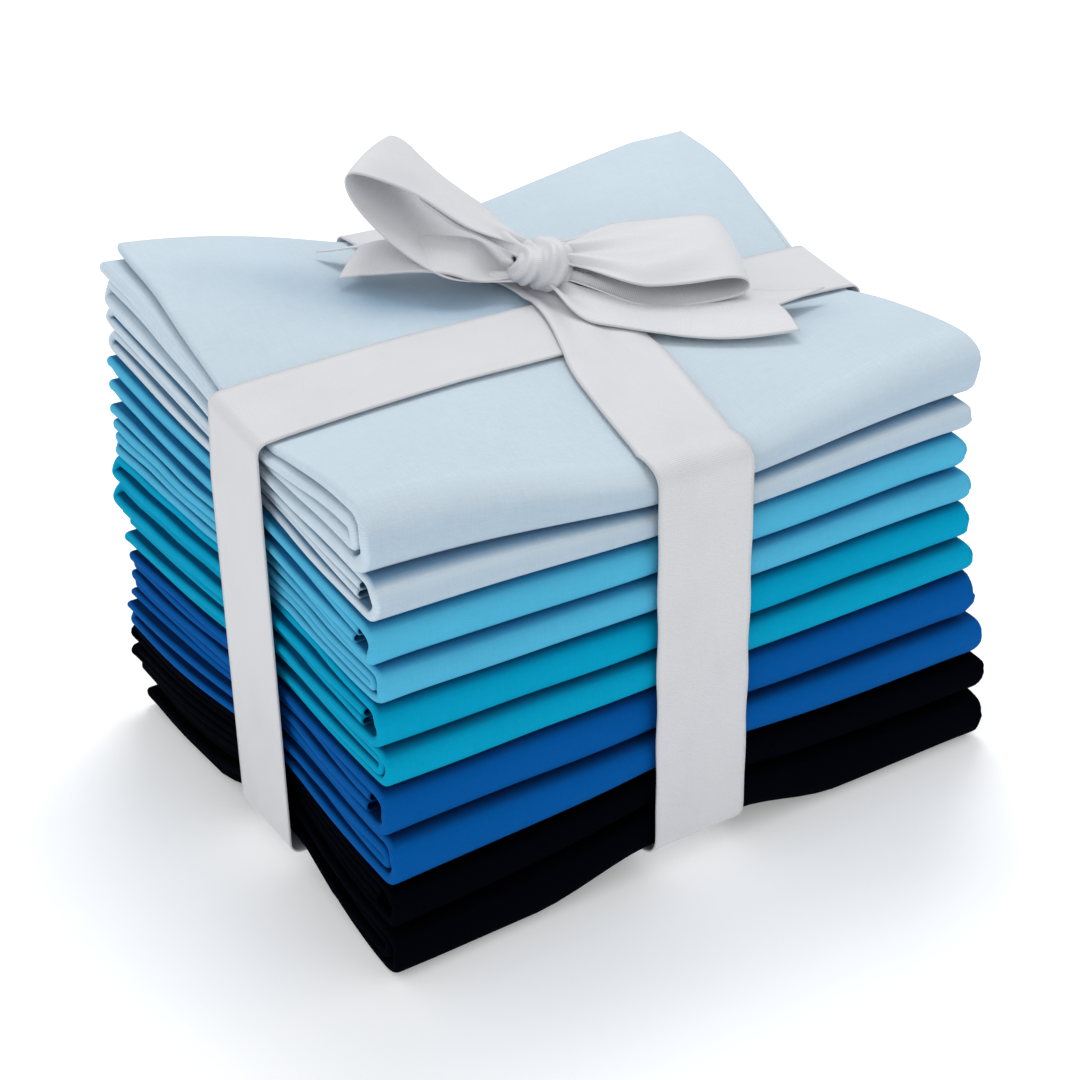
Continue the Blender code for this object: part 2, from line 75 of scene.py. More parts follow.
class Wire:
    # a node's output socket, so that shader maths reads as plain expressions
    def __init__(self, socket):
        self.socket = socket
        self.tree = socket.id_data

    @staticmethod
    def add(tree, kind, settings=None, inputs=None, output=0):
        node = tree.nodes.new(kind)
        for key, value in (settings or {}).items():
            if key == "stops":
                ramp = node.color_ramp
                while len(ramp.elements) > 1:
                    ramp.elements.remove(ramp.elements[-1])
                for number, (place, colour) in enumerate(value):
                    stop = ramp.elements[0] if number == 0 else ramp.elements.new(place)
                    stop.position = place
                    stop.color = colour
            else:
                setattr(node, key, value)
        for key, value in (inputs or {}).items():
            if isinstance(value, Wire):
                tree.links.new(value.socket, node.inputs[key])
            else:
                node.inputs[key].default_value = value
        return Wire(node.outputs[output])

    def node(self, kind, settings=None, inputs=None, output=0):
        return Wire.add(self.tree, kind, settings, inputs, output)

    def maths(self, operation, first, second=0.0):
        return self.node("ShaderNodeMath", {"operation": operation}, {0: first, 1: second})

    def __add__(self, other):
        return self.maths("ADD", self, other)

    def __radd__(self, other):
        return self.maths("ADD", other, self)

    def __sub__(self, other):
        return self.maths("SUBTRACT", self, other)

    def __rsub__(self, other):
        return self.maths("SUBTRACT", other, self)

    def __mul__(self, other):
        return self.maths("MULTIPLY", self, other)

    def __rmul__(self, other):
        return self.maths("MULTIPLY", other, self)

    def __truediv__(self, other):
        return self.maths("DIVIDE", self, other)

    def __rtruediv__(self, other):
        return self.maths("DIVIDE", other, self)

    def __pow__(self, other):
        return self.maths("POWER", self, other)

    def __abs__(self):
        return self.maths("ABSOLUTE", self)

    def wave(self):
        return self.maths("SINE", self)

    def between(self, low, high):
        return self.node(
            "ShaderNodeMapRange",
            {"interpolation_type": "SMOOTHSTEP"},
            {"Value": self, "From Min": low, "From Max": high},
        )

    def tint(self, first, second):
        # the first colour where this value is 0, the second where it is 1
        return self.node(
            "ShaderNodeMix",
            {"data_type": "RGBA"},
            {"Factor": self, 6: first, 7: second},
            2,
        )


def newMaterial(name):
    material = bpy.data.materials.new(name)
    material.use_nodes = True
    tree = material.node_tree
    return material, tree, tree.nodes["Principled BSDF"]


def flatPlace(tree):
    # place on the cloth before it was folded, in millimetres
    place = Wire.add(tree, "ShaderNodeAttribute", {"attribute_name": "flat"}, None, 1)
    parts = place.node("ShaderNodeSeparateXYZ", None, {0: place})
    sides = parts.socket.node.outputs
    return place, Wire(sides[0]), Wire(sides[1])


def noiseAt(place, scale, stretch=(1.0, 1.0, 1.0), detail=2.0, roughness=0.5):
    moved = place.node("ShaderNodeVectorMath", {"operation": "MULTIPLY"}, {0: place, 1: stretch})
    return place.node(
        "ShaderNodeTexNoise",
        {"noise_dimensions": "3D"},
        {"Vector": moved, "Scale": scale, "Detail": detail, "Roughness": roughness},
    )


cottonFinish = {
    "threadPitch": 0.42,        # millimetres from thread to thread
    "weaveDepth": 0.035,
    "slubDepth": 0.05,          # of the thicker stretches of a thread
    "slubAcross": 2.4,
    "slubAlong": 0.16,
    "roughness": 0.86,
    "roughnessDrift": 0.12,
    "mottle": 0.05,             # how far the colour drifts over the cloth
    "driftScale": 0.035,
    "fineScale": 0.5,
    "threadTone": 0.10,
    "toneRange": 0.2,           # how much darker and lighter the colour may get
    "toneGain": 2.5,
    # unevenness of the painted shade
    "paintedShadeGrain": 0.1,
    "sheenRoughness": 0.5,
    "gloss": 0.4,               # share of the sheen that shows as gloss
    "lintScale": 0.06,          # lint specks to the millimetre
    "lintSize": (0.015, 0.035),
    "lintColour": (0.75, 0.76, 0.80, 1.0),
}


def cottonMaterial(name, colour, paintedShadeColour, sheen, lint):
    # the painted shade colour is the deeper colour painted where the cloth lies against the next, for the
    # shade in the gaps between cloths, on the palest front folds and under the bow
    values = cottonFinish
    material, tree, shader = newMaterial(name)
    place, u, v = flatPlace(tree)
    turn = 2 * pi / values["threadPitch"]
    over = (u * turn).wave() * (v * turn).wave()
    across, along = values["slubAcross"], values["slubAlong"]
    warp = noiseAt(place, 1.0, (across, along, 1.0))
    weft = noiseAt(place, 1.0, (along, across, 1.0))
    slub = warp + weft - 1.0
    drift = noiseAt(place, values["driftScale"], detail=3.0)
    fine = noiseAt(place, values["fineScale"])
    tone = (drift - 0.5) * values["mottle"] * 2 + slub * values["threadTone"]
    tone = tone + (fine - 0.5) * values["mottle"]
    dark = tuple(c * (1.0 - values["toneRange"]) for c in colour) + (1.0,)
    light = tuple(min(1.0, c * (1.0 + values["toneRange"])) for c in colour) + (1.0,)
    base = (tone * values["toneGain"] + 0.5).tint(dark, light)
    # painted shade: the colour goes towards the painted shade colour by the share stored on each point, a
    # little uneven
    depth = Wire.add(tree, "ShaderNodeAttribute", {"attribute_name": "paintedShade"}, None, 2)
    base = (depth + (fine - 0.5) * values["paintedShadeGrain"]).tint(base, (*paintedShadeColour, 1.0))
    if lint:
        cells = place.node("ShaderNodeTexVoronoi", None, {"Vector": place, "Scale": values["lintScale"]})
        speck = 1.0 - cells.between(*values["lintSize"])
        base = (speck * lint).tint(base, values["lintColour"])
    tree.links.new(base.socket, shader.inputs["Base Color"])
    height = over * values["weaveDepth"] + slub * values["slubDepth"]
    bump = height.node("ShaderNodeBump", None, {"Height": height, "Strength": 1.0, "Distance": mm})
    tree.links.new(bump.socket, shader.inputs["Normal"])
    rough = values["roughness"] + (fine - 0.5) * values["roughnessDrift"]
    tree.links.new(rough.socket, shader.inputs["Roughness"])
    shader.inputs["Sheen Weight"].default_value = sheen
    shader.inputs["Sheen Roughness"].default_value = values["sheenRoughness"]
    shader.inputs["Sheen Tint"].default_value = tuple(c ** 0.8 for c in colour) + (1.0,)
    shader.inputs["Specular IOR Level"].default_value = sheen * values["gloss"]
    return material


# Each cotton: its colour, its painted shade colour for the shaded gaps between cloths, its sheen, and
# lint on it
cottonColours = {
    "cotton_black": ((0.0008, 0.0010, 0.0030), (0.0002, 0.0002, 0.0006), 0.02, 0.8),
    "cotton_royal": ((0.0004, 0.092, 0.352), (0.0004, 0.012, 0.060), 0.10, 0.0),
    "cotton_teal": ((0.0004, 0.335, 0.555), (0.0004, 0.060, 0.170), 0.10, 0.0),
    "cotton_aqua": ((0.080, 0.455, 0.695), (0.002, 0.110, 0.300), 0.15, 0.0),
    "cotton_ice": ((0.600, 0.705, 0.785), (0.020, 0.170, 0.340), 0.25, 0.0),
}
cottons = {key: cottonMaterial(key, *finish) for key, finish in cottonColours.items()}

satinFinish = {
    "colour": (0.66, 0.66, 0.68),
    "shade": (0.58, 0.58, 0.61),
    "roughness": 0.46,
    "roughnessDrift": 0.15,
    "sheen": 0.3,
    "sheenRoughness": 0.3,
    "ribPitch": 0.5,
    "ribDepth": 0.02,
    "crinkleScale": 0.09,
    "crinkleDepth": 0.12,
    "crinkleTone": 0.8,
    "threadTone": 0.35,
    "halfWidth": 12.5,
    "selvedge": (0.90, 0.96),   # where it begins and ends, as shares of the half width
    "selvedgeDepth": 0.05,
    "selvedgeRoughness": 0.12,
}


def satinMaterial():
    values = satinFinish
    material, tree, shader = newMaterial("ribbon")
    place, u, v = flatPlace(tree)
    ribs = (v * (2 * pi / values["ribPitch"])).wave()
    threads = noiseAt(place, 1.0, (3.0, 0.12, 1.0))
    crinkle = noiseAt(place, values["crinkleScale"], (1.0, 0.6, 1.0), detail=2.0)
    edge = abs(u / values["halfWidth"]).between(*values["selvedge"])
    tone = (crinkle - 0.5) * values["crinkleTone"] + (threads - 0.5) * values["threadTone"] + 0.2
    base = tone.between(0.0, 1.0).tint((*values["colour"], 1.0), (*values["shade"], 1.0))
    tree.links.new(base.socket, shader.inputs["Base Color"])
    height = ribs * values["ribDepth"] + crinkle * values["crinkleDepth"]
    height = height + edge * values["selvedgeDepth"]
    bump = height.node("ShaderNodeBump", None, {"Height": height, "Strength": 1.0, "Distance": mm})
    tree.links.new(bump.socket, shader.inputs["Normal"])
    rough = values["roughness"] + (threads - 0.5) * values["roughnessDrift"]
    rough = rough + edge * values["selvedgeRoughness"]
    tree.links.new(rough.socket, shader.inputs["Roughness"])
    shader.inputs["Sheen Weight"].default_value = values["sheen"]
    shader.inputs["Sheen Roughness"].default_value = values["sheenRoughness"]
    return material


satin = satinMaterial()
print("materials made")


def unit(vectors):
    return vectors / np.maximum(np.linalg.norm(vectors, axis=-1, keepdims=True), 1e-9)


def gridSteps(grid, axis, ring=False):
    if ring:
        return np.roll(grid, -1, axis) - np.roll(grid, 1, axis)
    return np.gradient(grid, axis=axis)


def addPiece(name, points, quads, rim, flat, paintedShade, material):
    mesh = bpy.data.meshes.new(name)
    mesh.vertices.add(len(points))
    mesh.vertices.foreach_set("co", (points * mm).astype(np.float32).ravel())
    faces = np.concatenate([quads, rim]).astype(np.int32)
    mesh.loops.add(faces.size)
    mesh.loops.foreach_set("vertex_index", faces.ravel())
    mesh.polygons.add(len(faces))
    mesh.polygons.foreach_set("loop_start", np.arange(0, faces.size, 4, dtype=np.int32))
    soft = np.ones(len(faces), dtype=bool)
    soft[len(quads):] = False       # the cut edge keeps its own hard normals
    mesh.polygons.foreach_set("use_smooth", soft)
    mesh.update(calc_edges=True)
    places = mesh.attributes.new("flat", "FLOAT_VECTOR", "POINT")
    places.data.foreach_set("vector", flat.astype(np.float32).ravel())
    # the share of painted shade on each point
    depths = mesh.attributes.new("paintedShade", "FLOAT", "POINT")
    depths.data.foreach_set("value", paintedShade.astype(np.float32).ravel())
    mesh.materials.append(material)
    piece = bpy.data.objects.new(name, mesh)
    bpy.context.scene.collection.objects.link(piece)
    return piece


def addSheet(name, middle, flat, paintedShade, thickness, material, ring=False):
    # middle is the cloth's middle surface, as a grid of rows and columns
    rows, columns = middle.shape[:2]
    normals = unit(np.cross(gridSteps(middle, 0, ring), gridSteps(middle, 1)))
    half = normals * (thickness / 2)
    points = np.concatenate([(middle + half).reshape(-1, 3), (middle - half).reshape(-1, 3)])
    index = np.arange(rows * columns).reshape(rows, columns)
    under = index + rows * columns
    if ring:
        index = np.concatenate([index, index[:1]])
        under = np.concatenate([under, under[:1]])

    def quadsOf(a, b, c, d):
        return np.stack([a, b, c, d], axis=-1).reshape(-1, 4)

    top = quadsOf(index[:-1, :-1], index[1:, :-1], index[1:, 1:], index[:-1, 1:])
    low = quadsOf(under[:-1, :-1], under[:-1, 1:], under[1:, 1:], under[1:, :-1])
    rim = [
        quadsOf(index[1:, 0], index[:-1, 0], under[:-1, 0], under[1:, 0]),
        quadsOf(index[:-1, -1], index[1:, -1], under[1:, -1], under[:-1, -1]),
    ]
    if not ring:
        rim.append(quadsOf(index[0, :-1], index[0, 1:], under[0, 1:], under[0, :-1]))
        rim.append(quadsOf(index[-1, 1:], index[-1, :-1], under[-1, :-1], under[-1, 1:]))
    return addPiece(
        name,
        points,
        np.concatenate([top, low]),
        np.concatenate(rim),
        np.concatenate([flat.reshape(-1, 3)] * 2),
        np.concatenate([paintedShade.ravel()] * 2),
        material,
    )


def blend(a, b, share):
    return a + (b - a) * share


def smooth(share):
    share = np.clip(share, 0.0, 1.0)
    return share * share * (3.0 - 2.0 * share)


stack = {
    "middleX": -6.0,            # the stack's own middle from the origin
    "length": 167.0,
    "width": 137.0,
    "seamGap": 0.4,
    "cloth": 0.36,              # thickness of the cotton
    "lift": 6.0,                # how high the ribbon holds the middle of the underside
    "footReach": 0.45,
    "endStagger": 0.9,
    "endSqueeze": 2.0,
    "rightRounding": 3.0,
    "frontDraw": 0.7,           # how far the ribbon draws the front folds in
    "unevenness": 0.22,         # of the seams, up and down
}
ribbon = {
    "width": 25.0,
    "thickness": 0.35,
    "frontX": -0.5,
    "endY": -7.5,
    "knot": (10.8, 11.0),
}
squeeze = {"centre": 0.65, "front": 1.0, "back": 0.95, "left": 0.95, "right": 0.75}

# One row for each cloth, from the bottom up: name, finish, thickness at the front left,
# front right, back left and back right, how much the ribbon squeezes out, X of the left
# end at the front and back and of the right end, how far the front fold and the open
# back are set in, and how far the top layers are set in at the back left.
quarters = (
    ("quarter_10", "cotton_black", 12.1, 13.3, 13.3, 13.0, 1.3, -80.5, -78.5, 89.5, 88.5, 0.0, 2.0, 0.0),
    ("quarter_09", "cotton_black", 11.0, 11.1, 11.7, 11.5, 1.7, -79.8, -80.5, 89.3, 89.0, 0.6, 0.5, 0.0),
    ("quarter_08", "cotton_royal", 12.9, 11.6, 9.8, 12.0, 2.4, -79.5, -80.5, 87.5, 87.5, 0.3, 1.5, 0.0),
    ("quarter_07", "cotton_royal", 12.5, 13.4, 11.3, 12.3, 0.85, -80.8, -79.0, 83.5, 87.0, 0.8, 0.8, 0.0),
    ("quarter_06", "cotton_teal", 9.7, 9.6, 13.1, 11.6, 0.6, -79.8, -79.0, 81.4, 86.0, 0.2, 2.4, 0.0),
    ("quarter_05", "cotton_teal", 10.8, 10.1, 14.1, 12.6, 0.4, -80.8, -80.2, 79.6, 86.0, 0.5, 0.6, 0.0),
    ("quarter_04", "cotton_aqua", 8.7, 9.0, 13.3, 11.6, 0.3, -80.2, -79.5, 78.8, 86.0, 0.2, 1.8, 0.0),
    ("quarter_03", "cotton_aqua", 10.2, 9.9, 13.0, 11.6, 0.6, -81.5, -78.0, 76.8, 87.0, 0.6, 0.4, 0.0),
    ("quarter_02", "cotton_ice", 10.1, 8.3, 13.1, 12.0, 2.2, -80.5, -77.0, 76.8, 90.0, 0.3, 1.2, 0.0),
    ("quarter_01", "cotton_ice", 17.0, 15.7, 14.5, 15.2, 7.85, -82.0, -77.5, 77.2, 96.0, 0.0, 2.0, 4.5),
)
corners = np.array([row[2:6] for row in quarters])
squeezed = np.array([row[6] for row in quarters])


def awayShare(value, middle, limit):
    # 0 under the ribbon's width, 1 at the stack's edge
    half = ribbon["width"] / 2
    return np.clip((abs(value - middle) - half) / (limit - half - abs(middle)), 0.0, 1.0)


def softFalloff(share):
    return 1.0 - np.sin(share * pi / 2)


def footFalloff(share):
    return 1.0 - smooth(share / stack["footReach"])


def pullAt(x, y, falloff):
    # share of the ribbon's squeeze felt at one place of the stack
    shareX = awayShare(x, ribbon["frontX"], stack["length"] / 2)
    shareY = awayShare(y, ribbon["endY"], stack["width"] / 2)
    fromFront, fromEnds = falloff(shareX), falloff(shareY)
    edgeY = np.where(y < ribbon["endY"], squeeze["front"], squeeze["back"])
    edgeX = np.where(x < ribbon["frontX"], squeeze["left"], squeeze["right"])
    underFront = blend(squeeze["centre"], edgeY, shareY ** 2)
    underEnds = blend(squeeze["centre"], edgeX, shareX ** 2)
    both = fromFront * fromEnds * squeeze["centre"]
    return underFront * fromFront + underEnds * fromEnds - both


def ripple(x, y, seed):
    # slow unevenness between -1 and 1, the same on every run
    random = np.random.default_rng(seed)
    total = 0.0
    for reach in (34.0, 52.0, 85.0):
        a, b = random.uniform(-1.0, 1.0, 2) * 2 * pi / reach
        total = total + np.sin(x * a + y * b + random.uniform(0, 2 * pi)) / 3
    return total


# Soft creases pressed into the top: from, to, width and height in millimetres
topCreases = (
    ((-70, 30), (-10, 2), 5.0, -0.5),
    ((-62, 48), (2, 14), 6.0, 0.45),
    ((-40, 60), (4, 22), 5.0, -0.5),
    ((18, -14), (66, -48), 6.0, 0.5),
    ((22, -22), (52, -60), 5.0, -0.45),
    ((20, 2), (74, 10), 5.0, -0.4),
    ((28, 20), (78, 52), 7.0, 0.6),
    ((16, 28), (34, 64), 5.0, -0.4),
    ((-24, -20), (-68, -52), 6.0, 0.4),
    ((-16, -26), (-40, -62), 5.0, -0.35),
    ((-30, 26), (2, 12), 9.0, -1.3),
    ((14, 74), (76, 74), 26.0, -2.0),
)


def nearLine(x, y, start, end):
    # share of the way along a line, and the distance from it
    (x0, y0), (x1, y1) = start, end
    dx, dy = x1 - x0, y1 - y0
    along = ((x - x0) * dx + (y - y0) * dy) / (dx * dx + dy * dy)
    nearest = np.clip(along, 0.0, 1.0)
    return along, np.hypot(x - x0 - nearest * dx, y - y0 - nearest * dy)


def creaseHeight(x, y):
    total = np.zeros(np.broadcast(x, y).shape)
    for start, end, width, height in topCreases:
        along, gap = nearLine(x, y, start, end)
        fade = np.sin(pi * np.clip(along, 0.02, 0.98)) ** 0.6
        total = total + height * fade * np.exp(-((gap / width) ** 2))
    return total


def seamHeight(seam, x, y):
    # height of the seam under cloth number seam, counted from the bottom
    s = np.clip(x / stack["length"] + 0.5, 0.0, 1.0)
    t = np.clip(y / stack["width"] + 0.5, 0.0, 1.0)
    height = stack["lift"] * pullAt(x, y, softFalloff if seam else footFalloff)
    frontLeft, frontRight, backLeft, backRight = corners[:seam].sum(0)
    height = height + blend(blend(frontLeft, frontRight, s), blend(backLeft, backRight, s), t)
    height = height - squeezed[:seam].sum() * pullAt(x, y, softFalloff)
    if seam:
        height = height + stack["unevenness"] * ripple(x, y, 40 + seam)
    if seam == len(quarters):
        height = height + creaseHeight(x, y)
    return height


def stations(length, edge, count):
    # shares along a length, close together near both ends
    near = np.array(edge) / length
    inner = np.linspace(near[-1], 1.0 - near[-1], count)
    return np.concatenate([near[:-1], inner, 1.0 - near[:-1][::-1]])


layerCount = 12
foldKinds = ("book", "gate", "book", "gate", "book", "gate", "book", "gate", "gate", "book")
clothEdge = (0.0, 0.7, 1.6, 2.9, 4.6, 7.0, 10.5)


# The long fold in four, as runs to and fro: index of the layer in the middle of the run,
# heading, and how far it is set in at the front and at the back. A book fold has its raw
# edges at the back, a gate fold has them inside the front fold.
folds = {
    "book": ((10, -1, 0.0, 0.3), (1, 1, 0.0, 0.0), (4, -1, 0.0, 0.0), (7, 1, 0.0, 1.6)),
    "gate": ((7, 1, 1.2, 0.8), (10, -1, 0.0, 0.8), (1, 1, 0.0, 0.0), (4, -1, 2.6, 0.0)),
}


def foldRows(kind, pitch, frontInset, backInset, middleCount):
    # The long fold: base Y, index of the layer at the middle of three, how the index and
    # Y answer to a sheet's offset, heading, and the length along the cloth.
    reachOut = (layerCount - 1) / 2 * pitch + stack["cloth"] / 2
    front = -stack["width"] / 2 + frontInset + reachOut
    back = stack["width"] / 2 - backInset
    runs = folds[kind]
    rows = []
    travelled = 0.0
    for number, (level, heading, frontIn, backIn) in enumerate(runs):
        backFold = (number in (1, 2)) if kind == "book" else True
        far = back - backIn - (2.5 * pitch + stack["cloth"] / 2 if backFold else 0.0)
        near = front + frontIn
        ys = near + stations(far - near, clothEdge, middleCount) * (far - near)
        if heading < 0:
            ys = ys[::-1]
        for y in ys:
            rows.append((y, level, -heading, 0.0, 1.0, 0.0, heading, travelled + abs(y - ys[0])))
        travelled += abs(ys[-1] - ys[0])
        if number + 1 == len(runs):
            break
        middle = (level + runs[number + 1][0]) / 2
        reach = level - middle
        sign = 1.0 if reach > 0 else -1.0
        away = 1.0 if -heading == sign else -1.0
        outer = abs(reach) > 2.0
        steps = detail["bigTurn"] if outer else detail["smallTurn"]
        for step in range(1, steps):
            angle = pi * step / steps
            power = thirds["bigSquare"] if outer else 1.0
            lift = np.sign(cos(angle)) * abs(cos(angle)) ** power
            push = sin(angle) ** power
            length = travelled + abs(reach) * pitch * angle
            rows.append((ys[-1], middle, sign * lift, abs(reach), away, push, heading, length))
        travelled += abs(reach) * pitch * pi
    return [np.array(column)[:, None] for column in zip(*rows)]


# The short fold in three: the first sheet lies on the outside, the second inside out
# under it, and the third tucked between them. Offsets are in layers from the middle one,
# far from the ends, at the left end and at the right end.
thirds = {
    "rest": (1.0, -1.0, 0.0),
    "left": (1.0, -1.05, 0.0),
    "right": (1.15, -1.1, 0.3),
    "leftReach": 0.95,          # how far the left fold stands out, in millimetres
    "rightReach": 0.75,
    "square": 0.8,              # below 1 a turn is a little square
    "bigSquare": 0.82,
}


packet = {
    "tuckLeft": (3.4, 1.6),     # how far raw edges lie inside the ends, and its unevenness
    "tuckRight": (1.3, 0.9),
    "endWave": 0.4,             # unevenness of the layers' ends
    "rightWave": 0.5,
    "swell": 0.12,              # of the turns at the left end
    "endBlend": 5.5,            # how far in from an end its own spacing reaches
    "bandHalf": 9.0,            # where the front folds start to come out from the ribbon
    "bandReach": 26.0,
    "frontReach": 9.0,
    "frontWave": 0.3,
    "fan": 0.16,                # how far the layers fan out at the left end
}


def foldColumns(counts):
    # The three sheets side by side: share from the left end, offset far from the ends,
    # offset at the left end and at the right end, how far a turn stands out, and the sheet.
    steps = detail["endTurn"]
    lengths = [stations(stack["length"] - 2.0, clothEdge, count) for count in counts]
    rest, atLeft, atRight = thirds["rest"], thirds["left"], thirds["right"]
    columns = []
    for sheet in range(3):
        shares = lengths[sheet] if sheet == 1 else lengths[sheet][::-1]
        for share in shares:
            columns.append((share, rest[sheet], atLeft[sheet], atRight[sheet], 0.0, sheet))
        if sheet == 2:
            break
        ends = atLeft if sheet == 0 else atRight
        middle = (ends[sheet] + ends[sheet + 1]) / 2
        reach = (ends[sheet] - ends[sheet + 1]) / 2
        out = -thirds["leftReach"] if sheet == 0 else thirds["rightReach"]
        for step in range(1, steps):
            angle = pi * step / steps
            lift = np.sign(cos(angle)) * abs(cos(angle)) ** thirds["square"]
            offset = middle + reach * lift
            push = out * sin(angle) ** thirds["square"]
            columns.append((float(sheet), offset, offset, offset, push, sheet + 0.5))
    return [np.array(column)[None, :] for column in zip(*columns)]


# Painted shadow of the bow on the top: from, to, width and depth of the painted tone
paintedBowShadows = (
    ((-26, 24), (4, 9), 9.0, 0.34),
    ((-40, 34), (-10, 20), 13.0, 0.16),
    ((22, -6), (58, -30), 8.0, 0.12),
    ((-60, 44), (-30, 30), 10.0, 0.10),
)


shading = {
    "turnStart": 0.62,          # where on a turn the painted shade colour sets in, up to 1
    "strength": 0.85,
    "endShare": 0.75,
    "paleFrontShade": 0.24,          # how much painted shade the palest cloths take on their front folds
    "paleCloths": 2,
    "topLevel": 9.0,            # from this layer up the top cloth takes the bow's painted shadow
}


def paintedBowShadowAt(x, y):
    total = np.zeros(np.broadcast(x, y).shape)
    for start, end, width, depth in paintedBowShadows:
        gap = nearLine(x, y, start, end)[1]
        total = total + depth * np.exp(-((gap / width) ** 2))
    return total


def paintedShadeShare(number, lift, push, reach, out):
    # share of painted shade: 0 where the cloth lies open, 1 where it is pressed against a neighbour, for
    # the shade in the gaps between cloths
    outward = np.where(reach > 2.0, lift, 1.0)
    if number == len(quarters) - 1:
        outward = np.minimum(outward, 0.0)
    start = shading["turnStart"]
    across = shading["strength"] * smooth((abs(outward) - start) / (1.0 - start))
    # painted shade on the front folds of the palest cloths, below their upper edge
    if number >= len(quarters) - shading["paleCloths"]:
        front = np.where(reach > 2.0, push * smooth((0.7 - lift) / 0.6), 0.0)
        across = np.maximum(across, shading["paleFrontShade"] * front)
    turn = np.where(out < 0.0, -out / thirds["leftReach"], out / thirds["rightReach"])
    ends = 1.0 - smooth(turn / shading["endShare"])
    return across * ends


def addQuarter(number, row, counts, middleCount):
    name, finish = row[:2]
    leftFront, leftBack, rightFront, rightBack, frontInset, backInset, topInset = row[7:]
    cloth, gap = stack["cloth"], stack["seamGap"]
    top = layerCount - 1
    pitch = (corners[number].mean() - gap - cloth) / top
    baseY, middle, lift, reach, away, push, heading, run = foldRows(
        foldKinds[number], pitch, frontInset, backInset, middleCount
    )
    share, rest, atLeft, atRight, out, sheet = foldColumns(counts)

    # where the ends of each row lie
    level = middle + lift * reach
    t = np.clip(baseY / stack["width"] + 0.5, 0.0, 1.0)
    drawn = stack["endSqueeze"] * softFalloff(awayShare(baseY, ribbon["endY"], stack["width"] / 2))
    levelFive = level / top * 5
    left = blend(leftFront, leftBack, t) + drawn + topInset * t ** 2 * smooth(level - 8.5)
    calm = 0.2 + 0.8 * smooth((baseY + stack["width"] / 2 - 4.0) / 40.0)
    left = left + stack["endStagger"] * calm * np.sin(2.3 * levelFive + 1.9 * number)
    left = left + packet["endWave"] * calm * ripple(level * 9.0, baseY * 1.5, 100 + number)
    right = blend(rightFront, rightBack, t) - drawn
    right = right - stack["rightRounding"] * (2 * level / top - 1) ** 2
    right = right + packet["rightWave"] * ripple(level * 9.0, baseY * 1.2, 200 + number)

    # tucked raw edges: the last sheet at the left end, the first at the right end
    base, waviness = packet["tuckLeft"]
    tuckLeft = base + waviness * ripple(level * 14.0, baseY * 2.0, 300 + number)
    base, waviness = packet["tuckRight"]
    tuckRight = base + waviness * ripple(level * 14.0, baseY * 2.0, 400 + number)
    low = left + np.where(sheet < 1.6, thirds["leftReach"] + cloth / 2, tuckLeft)
    high = right - np.where(sheet > 0.4, thirds["rightReach"] + cloth / 2, tuckRight)
    length = high - low
    x = low + share * length + out
    swell = 1.0 + packet["swell"] * ripple(level * 11.0, baseY, 500 + number)
    nearLeft = np.exp(-((share * length / packet["endBlend"]) ** 2))
    nearRight = np.exp(-(((1.0 - share) * length / packet["endBlend"]) ** 2))
    offset = rest + (atLeft * swell - rest) * nearLeft + (atRight - rest) * nearRight

    radius = reach + away * offset
    index = middle + lift * radius
    y = baseY + heading * push * radius * pitch
    # the ribbon draws the front folds in where it crosses them
    aside = (abs(x - ribbon["frontX"]) - packet["bandHalf"]) / packet["bandReach"]
    underRibbon = softFalloff(np.clip(aside, 0.0, 1.0))
    nearFront = np.exp(-(((y + stack["width"] / 2) / packet["frontReach"]) ** 2))
    y = y + stack["frontDraw"] * underRibbon * nearFront
    y = y + packet["frontWave"] * ripple(x, y * 0.3, 600 + number) * nearFront
    floor = seamHeight(number, x, y) + (gap / 2 if number else 0.0)
    roof = seamHeight(number + 1, x, y) - gap / 2
    z = floor + cloth / 2 + (roof - floor - cloth) * index / top
    fan = smooth((level - 0.6) / 2.0) * smooth((top - 0.6 - level) / 2.0)
    z = z + packet["fan"] * fan * nearLeft * np.sin(2.9 * levelFive + 1.3 * number)
    middleGrid = np.stack(np.broadcast_arrays(x + stack["middleX"], y, z), axis=-1)

    sheetNumber = np.floor(sheet + 0.01)
    third = stack["length"] - 1.0
    flatX = np.where(sheetNumber == 1, share, 1 - share) * third + sheetNumber * stack["length"]
    flat = np.stack(np.broadcast_arrays(flatX, run + 0.0 * flatX, 700.0 * number + 0.0 * run), axis=-1)
    # painted shade in the gaps between cloths and on the palest front folds
    paintedShade = paintedShadeShare(number, lift, push, reach, out)
    # painted shadow of the bow on the upper layers of the top cloth, in place of the painted shade of the
    # gaps
    if number == len(quarters) - 1:
        upper = smooth(level - shading["topLevel"])
        paintedShade = paintedShade * (1.0 - upper) + upper * paintedBowShadowAt(x, y)
    piece = addSheet("cloth_" + name[-2:], middleGrid, flat, paintedShade, cloth, cottons[finish])
    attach(piece, "root")
    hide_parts(name)
    return piece


detail = {
    "counts": (30, 12, 12),         # places along each of the three sheets, between its ends
    "middleCount": 16,
    "bigTurn": 14,                  # steps round a front or back fold of three layers
    "smallTurn": 8,
    "endTurn": 8,
    "topCounts": (48, 14, 14),
    "topMiddleCount": 36,
}
for number, row in enumerate(quarters):
    isTop = number == len(quarters) - 1
    addQuarter(
        number,
        row,
        detail["topCounts"] if isTop else detail["counts"],
        detail["topMiddleCount"] if isTop else detail["middleCount"],
    )
print("cloths folded")


def topHeight(x, y):
    return seamHeight(len(quarters), x, y)


